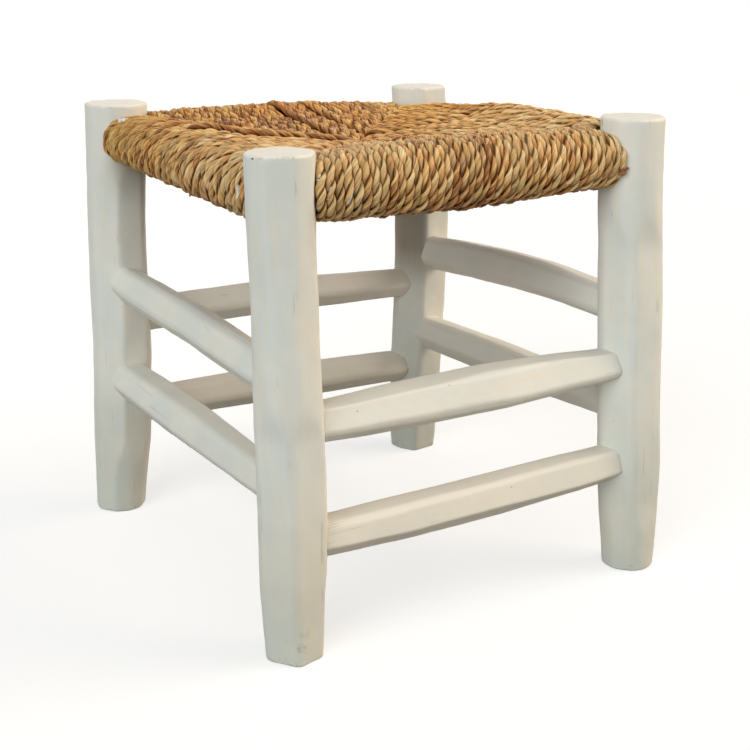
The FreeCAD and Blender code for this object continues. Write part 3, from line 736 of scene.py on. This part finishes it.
def strandSkin(skin, route, facing, outermost, rng, phase, seed, slack):
    # two plies wind round the strand's line; each is a lens carried along its own helix, one edge lifted
    lengths = pathLengths(route)
    seen, step = outermost + seat["seenBelow"], seat["ringStep"]
    s = np.concatenate([np.arange(0, seen, step), np.arange(seen, lengths[-1], seat["hiddenStep"] * step)])

    def ripple(name, p=0):
        height, rate, seedStep, count = seat["ripples"][name]
        return height * waves(s * rate, seed + seedStep + p, count)

    centre = readPath(s, lengths, route)
    x, y, z = centre.T
    tangent = unit(np.gradient(centre, axis=0))
    normal = squareTo(readPath(s, lengths, facing), tangent)
    side = np.cross(tangent, normal)
    back = fade(y / 0.12) * (z > 0.385)
    left = fade((-0.165 - x) / 0.02) * fade((y + 0.14) / 0.06)
    lay = seat["lay"] * slack * rng.uniform(0.90, 1.10)
    twist = 2 * math.pi * (s - outermost) / lay + phase + ripple("twist")
    size = rng.uniform(0.93, 1.06) * (1 + ripple("size"))
    across, outwards = plySection()
    outerSide = outwards > 0
    strandTone, strandHue = rng.normal(0, 0.08), rng.normal(0, 0.06)
    for p in (0, 1):
        angle = twist + math.pi * p + ripple("turn", p)
        outward = np.cos(angle)[:, None] * normal + np.sin(angle)[:, None] * side
        away = seat["plyOffset"] * size * (1 + ripple("offset", p)) * (1 - 0.22 * back)
        line = centre + away[:, None] * outward
        forward = unit(np.gradient(line, axis=0))
        outward = squareTo(outward, forward)
        edgeways = np.cross(forward, outward)
        stout = rng.uniform(0.92, 1.10)
        width = seat["plyWidth"] / 2 * size * stout * (1 + ripple("width", p))
        depth = seat["plyDepth"] / 2 * size * stout * (1 + ripple("depth", p)) * (1 - 0.12 * back)
        lifted = seat["edgeLift"] * (1 + ripple("lift", p))
        u = across * width[:, None]
        # a fold line wanders along the leaf
        crease = np.exp(-((across - ripple("fold", p)[:, None]) / seat["foldWidth"]) ** 2)
        crease = crease * (0.6 + ripple("crease", p)[:, None])
        v = (outwards - seat["foldDepth"] * crease * outerSide) * depth[:, None] + lifted[:, None] * u
        v = v - u * u / (2 * seat["plyBend"])
        points = line[:, None] + v[..., None] * outward[:, None] + u[..., None] * edgeways[:, None]
        # painted shade in the groove between two leaves and in the one between two strands
        depthIn = ((points - centre[:, None]) * normal[:, None]).sum(-1)
        hollow = fade((0.30 - outwards) / 0.5) * 0.9 + 0.3 * crease * outerSide
        hollow = fade(hollow + 0.7 * fade((0.0004 - depthIn) / 0.0028))
        hollow = fade(hollow * (1 - 0.5 * back + 0.45 * left)[:, None])
        offset = rng.uniform(0, 50)
        fibre = np.stack([np.broadcast_to(s[:, None] + offset, u.shape), u + offset, v + offset], -1)
        tone = 0.5 + strandTone + rng.normal(0, 0.09) + ripple("tone", p)
        hue = 0.5 + strandHue + rng.normal(0, 0.07) + ripple("hue", p)
        # the back is more orange and darker, the front greener, and the underside darker with painted shade
        hue = hue - 0.17 * np.clip(y / 0.15, -1, 1)
        tone = tone - 0.06 * np.clip(y / 0.15 + 0.3, -1, 1)
        tone = tone - 0.28 * fade((0.378 - z) / 0.012)
        for patchX, patchY, radius, toneChange, hueChange in seat["patches"]:
            near = np.exp(-((x - patchX) ** 2 + (y - patchY) ** 2) / radius ** 2)
            tone = tone + toneChange * near
            hue = hue + hueChange * near
        # painted highlight on the crests that stand furthest out, and painted shade on the flanks
        tone = tone[:, None] - 0.09 + 0.34 * fade((depthIn - 0.0020) / 0.0026)
        touch = np.zeros(u.shape)
        for spotX, spotY, spotZ, wide, high in seat["paintSpots"]:
            rise = points[..., 2] - spotZ
            sideways = np.hypot(points[..., 0] - spotX - 0.3 * rise, points[..., 1] - spotY)
            touch = np.maximum(touch, fade(1.7 - np.hypot(sideways / wide, rise / high)))
        skin.tube(points, fibreSpace=fibre, tone=fade(tone), hue=fade(hue)[:, None], hollow=hollow, postTouch=touch)


def buildSeat(material):
    for rail, one in rails.items():
        phase = float(one["seed"])
        for half in (0, 1):
            skin = Skin()
            for i in range(seat["perCorner"]):
                route, facing, outermost, rng = strandRoute(rail, half, i)
                # a quarter turn from one strand to the next lets the swells of one lie in its neighbour's waists
                phase += math.pi / 2 + rng.uniform(-0.35, 0.35)
                share = (i + 0.5) / (2 * seat["perCorner"])
                slack = np.interp(share if half == 0 else 1 - share, (0, 0.5, 1), one["slack"])
                seed = 10000 * one["seed"] + 3000 * half + 40 * i
                strandSkin(skin, route, facing, outermost, rng, phase, seed, slack)
            post = one["posts"][half]
            side = post.split("_")[0 if rail in ("left", "right") else 1]
            piece = skin.build("rope_over_" + rail + "_rail_" + side, material)
            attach(piece, "root")
            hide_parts(post.replace("post", "seat_rope"))
            print("seat", piece.name, len(piece.data.polygons), "faces")


frays = {
    "count": 60,
    "lengths": (0.002, 0.0055), "widths": (0.0002, 0.0005),
    "leave": 0.0036,  # from the strand's line to where they come loose
    "stationsAlong": 9, "columns": 6, "thickness": 0.35,
    # torn leaf ends: place, direction, length and width
    "torn": (((0.1435, -0.2035, 0.3835), (1, -0.30, 0), 0.0074, 0.0048),
             ((0.1425, -0.2035, 0.3800), (1, -0.30, -0.3), 0.0056, 0.0036),
             ((-0.1990, -0.0600, 0.3720), (-0.3, 0.4, -1), 0.0022, 0.0030),
             ((-0.0440, -0.1310, 0.4138), (1, -0.4, 0.6), 0.0055, 0.0028),
             ((-0.0300, -0.1250, 0.4138), (1, -0.2, 0.5), 0.0060, 0.0026),
             ((-0.0570, -0.1380, 0.4142), (1, -0.5, 0.7), 0.0045, 0.0024)),
    "tornTone": 0.12, "tornHue": 0.4,
}


def buildFrays(material):
    # loose ends of leaf: thin tapering strips that leave the rope and curl
    rng = np.random.default_rng(8)
    strips = list(frays["torn"])
    names = list(rails)
    for k in range(frays["count"]):
        route, facing, outermost, _ = strandRoute(names[rng.integers(4)], int(rng.integers(2)),
                                                  int(rng.integers(seat["perCorner"])))
        at = int(rng.uniform(0.1, 0.62) * len(route))
        way = unit(route[min(at + 1, len(route) - 1)] - route[at - 1]) * rng.choice([-1, 1])
        aim = way + unit(facing[at]) * rng.uniform(0.0, 0.45) + rng.normal(0, 0.25, 3)
        start = route[at] + unit(facing[at]) * frays["leave"]
        strips.append((start, aim, rng.uniform(*frays["lengths"]), rng.uniform(*frays["widths"])))
    skin = Skin()
    angle = ringAngles(frays["columns"])
    t = np.linspace(-0.25, 1, frays["stationsAlong"])
    for start, aim, length, width in strips:
        aim = unit(np.array(aim, float))
        bend = unit(np.cross(aim, rng.normal(0, 1, 3))) * rng.uniform(-0.5, 0.5)
        line = np.array(start) + length * (t[:, None] * aim + (t * t)[:, None] * bend)
        forward = unit(np.gradient(line, axis=0))
        flat = unit(np.cross(forward, np.array((0.5, 0.8, -0.3))))
        thin = np.cross(forward, flat)
        half = width * np.sqrt(np.clip(1 - t, 0.02, 1)) / 2
        shape = (line[:, None] + (half[:, None] * np.cos(angle))[..., None] * flat[:, None]
                 + (frays["thickness"] * half[:, None] * np.sin(angle))[..., None] * thin[:, None])
        torn = width > 0.002
        tone = frays["tornTone"] if torn else rng.uniform(0.3, 1.0)
        space = shape + rng.uniform(0, 9)
        hue = frays["tornHue"] if torn else rng.uniform(0.2, 0.8)
        skin.tube(shape, fibreSpace=space, tone=tone, hue=hue, hollow=0, postTouch=0)
    piece = skin.build("rope_loose_ends", material)
    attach(piece, "root")
    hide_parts("front_right_seat_rope")


spans = {"perWay": 34, "halfSpread": 0.125, "halfLength": 0.150, "height": 0.3835, "apart": 0.0035, "radius": 0.0024}


def buildInnerSpans(material):
    # plain spans of rope that cross between the upper and lower sides, seen only through gaps
    skin = Skin()
    rng = np.random.default_rng(5)
    angle = ringAngles(8)
    s = np.linspace(-spans["halfLength"], spans["halfLength"], 40)
    for direction in (0, 1):
        for place in np.linspace(-spans["halfSpread"], spans["halfSpread"], spans["perWay"]):
            height = spans["height"] + spans["apart"] * direction
            height = height + 0.0006 * waves(s * 40, int(abs(place) * 9999) + direction, 2)
            centre = np.zeros((len(s), 3))
            centre[:, direction] = s
            centre[:, 1 - direction] = place + 0.0004 * waves(s * 50, int(abs(place) * 7777), 2)
            centre[:, 2] = height + seatDrop(centre[:, 0], centre[:, 1])
            across = np.array((0.0, 1.0, 0) if direction == 0 else (-1.0, 0, 0))
            ring = np.cos(angle)[:, None] * across + np.sin(angle)[:, None] * np.array((0, 0, 1.0))
            shape = centre[:, None] + (spans["radius"] * ring)[None]
            tone = rng.uniform(0.1, 0.5)
            fibre = np.stack(np.broadcast_arrays(s[:, None] + place * 90, 0.003 * np.cos(angle),
                                                 0.003 * np.sin(angle)), -1)
            # painted shade: the spans lie in the dark inside the seat
            skin.tube(shape, fibreSpace=fibre, tone=tone, hue=tone, hollow=0.3, postTouch=0)
    piece = skin.build("rope_spans_inside", material)
    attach(piece, "root")
    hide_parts("seat_rope_core")


sticks = {"inset": 0.012, "radius": 0.0153, "tenon": 0.72, "shoulder": 0.014, "flats": 7, "depth": 0.08}


def buildSeatRail(rail, material):
    # a rough stick between two posts, hidden by the rope but for gaps beside the posts
    one, inset = rails[rail], sticks["inset"]
    ends = [postAxis(name, stool["seatRailHeight"]) for name in one["posts"]]
    for end in ends:
        end[2] += seatDrop(end[0], end[1])
    length = np.linalg.norm(ends[1] - ends[0])
    along = (ends[1] - ends[0]) / length
    across = unit(np.cross((0, 0, 1), along))
    upward = np.cross(along, across)
    s = np.linspace(inset, length - inset, 90)
    near = fade(np.minimum(s - inset, length - inset - s) / sticks["shoulder"])
    radius = sticks["radius"] * (sticks["tenon"] + (1 - sticks["tenon"]) * near)
    a, ss = np.meshgrid(ringAngles(32), s)
    edge = hewnRadius(np.broadcast_to(radius[:, None], a.shape), a, ss, sticks["flats"], sticks["depth"],
                      one["seed"] + 300)
    outX, outY = edge * np.cos(a), edge * np.sin(a)
    centre = ends[0] + s[:, None] * along
    skin = Skin()
    skin.tube(centre[:, None] + outX[..., None] * across + outY[..., None] * upward,
              grainSpace=np.stack([ss, outX, outY], -1))
    piece = skin.build(rail + "_seat_stick", material)
    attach(piece, "root")
    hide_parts(rail + "_seat_rail")


def makeBareWood():
    n = Nodes(bpy.data.materials.new("bareWood"))
    grain = n.noise(n.stretch(n.attribute("grainSpace", "Vector"), (30.0, 700.0, 700.0)), 1.0, 4.0)
    return n.finish({"Base Color": n.mix(grain, colour(120, 88, 56), colour(168, 132, 88)),
                     "Normal": n.bump(grain, 0.0006, 0.6), "Roughness": 0.7})


paintedWood = makePaintedWood()
seatRope = makeSeatRope()
bareWood = makeBareWood()
for name in posts:
    buildPost(name, paintedWood)
for name in rungs:
    buildRung(name, paintedWood)
print("posts and rungs built")
buildSeat(seatRope)
buildFrays(seatRope)
buildInnerSpans(seatRope)
for rail in rails:
    buildSeatRail(rail, bareWood)
print("seat rails and loose ends built")


# Floor, lights and camera

studio = {
    "place": (-0.661, -1.131, 0.578),
    "yaw": 30.9, "pitch": -17.5, "roll": -0.13,
    "lens": 67.0,
    "floorHalf": 60.0,
    "floorColour": (0.18, 0.16, 0.13, 1),  # as the stool is lit by it
    "floorShown": (0.95, 0.95, 0.95, 1),  # as the camera sees it, half of it glowing
    "floorGlow": 1.25,
    "worldColour": (1.0, 0.97, 0.93, 1),
    "worldStrength": 0.15,
    # wide suns: the side they shine from, strength, tint and spread in degrees
    "suns": {"key": ((0.85, -0.35, 0.40), 0.82, (1.0, 0.87, 0.70), 50),
             "fill": ((-0.80, -0.50, 0.38), 0.66, (0.93, 0.99, 1.0), 50),
             "sky": ((0.1, 0.2, 1.0), 0.20, (1.0, 0.95, 0.88), 120)},
}


def cameraSees(n):
    # 1 for rays that show the background: straight from the camera, mirrored or through glass
    path = n.node("LightPath", "Is Camera Ray", {}).node
    seen = n.math("MAXIMUM", path.outputs["Is Camera Ray"], path.outputs["Is Glossy Ray"])
    return n.math("MAXIMUM", seen, path.outputs["Is Transmission Ray"])


def makeFloor():
    size = studio["floorHalf"]
    mesh = bpy.data.meshes.new("floor")
    mesh.from_pydata([(-size, -size, 0), (size, -size, 0), (size, size, 0), (-size, size, 0)], [], [(0, 1, 2, 3)])
    floor = addObject("floor", mesh)
    n = Nodes(bpy.data.materials.new("floorPaper"))
    n.tree.nodes.remove(n.shader)
    matt = n.node("BsdfDiffuse", 0, {"Color": studio["floorColour"]})
    shown = n.node("BsdfDiffuse", 0, {"Color": studio["floorShown"]})
    glow = n.node("Emission", 0, {"Strength": studio["floorGlow"]})
    pale = n.node("MixShader", 0, {0: 0.5, 1: glow, 2: shown})
    both = n.node("MixShader", 0, {0: cameraSees(n), 1: matt, 2: pale})
    n.link(both, n.tree.nodes["Material Output"], "Surface")
    mesh.materials.append(n.owner)


def makeSun(name, towards, strength, tint, spread):
    data = bpy.data.lights.new(name, "SUN")
    data.energy, data.color, data.angle = strength * math.pi, tint, math.radians(spread)
    lamp = addObject(name, data)
    lamp.rotation_mode = "QUATERNION"
    lamp.rotation_quaternion = Vector(towards).to_track_quat("Z", "Y")


def makeWorld():
    n = Nodes(bpy.data.worlds.new("world"))
    bpy.context.scene.world = n.owner
    around = n.tree.nodes["Background"]
    n.link(studio["worldColour"], around, "Color")
    n.link(studio["worldStrength"], around, "Strength")
    white = n.node("Background", 0, {"Color": (1, 1, 1, 1)})
    shown = n.node("MixShader", 0, {0: cameraSees(n), 1: around.outputs[0], 2: white})
    n.link(shown, n.tree.nodes["World Output"], 0)


def makeCamera():
    data = bpy.data.cameras.new("camera")
    data.sensor_width = 36.0
    data.lens = studio["lens"]
    camera = addObject("camera", data)
    # it looks along +y when its yaw is zero, and rolls about its own axis
    place = Matrix.Translation(studio["place"])
    for angle, axis in ((-studio["yaw"], "Z"), (90 + studio["pitch"], "X"), (studio["roll"], "Z")):
        place = place @ Matrix.Rotation(math.radians(angle), 4, axis)
    camera.matrix_world = place
    bpy.context.scene.camera = camera


makeFloor()
for name, values in studio["suns"].items():
    makeSun(name, *values)
makeWorld()
makeCamera()
bpy.context.scene.view_settings.view_transform = "Standard"
print("floor, lights and camera set")
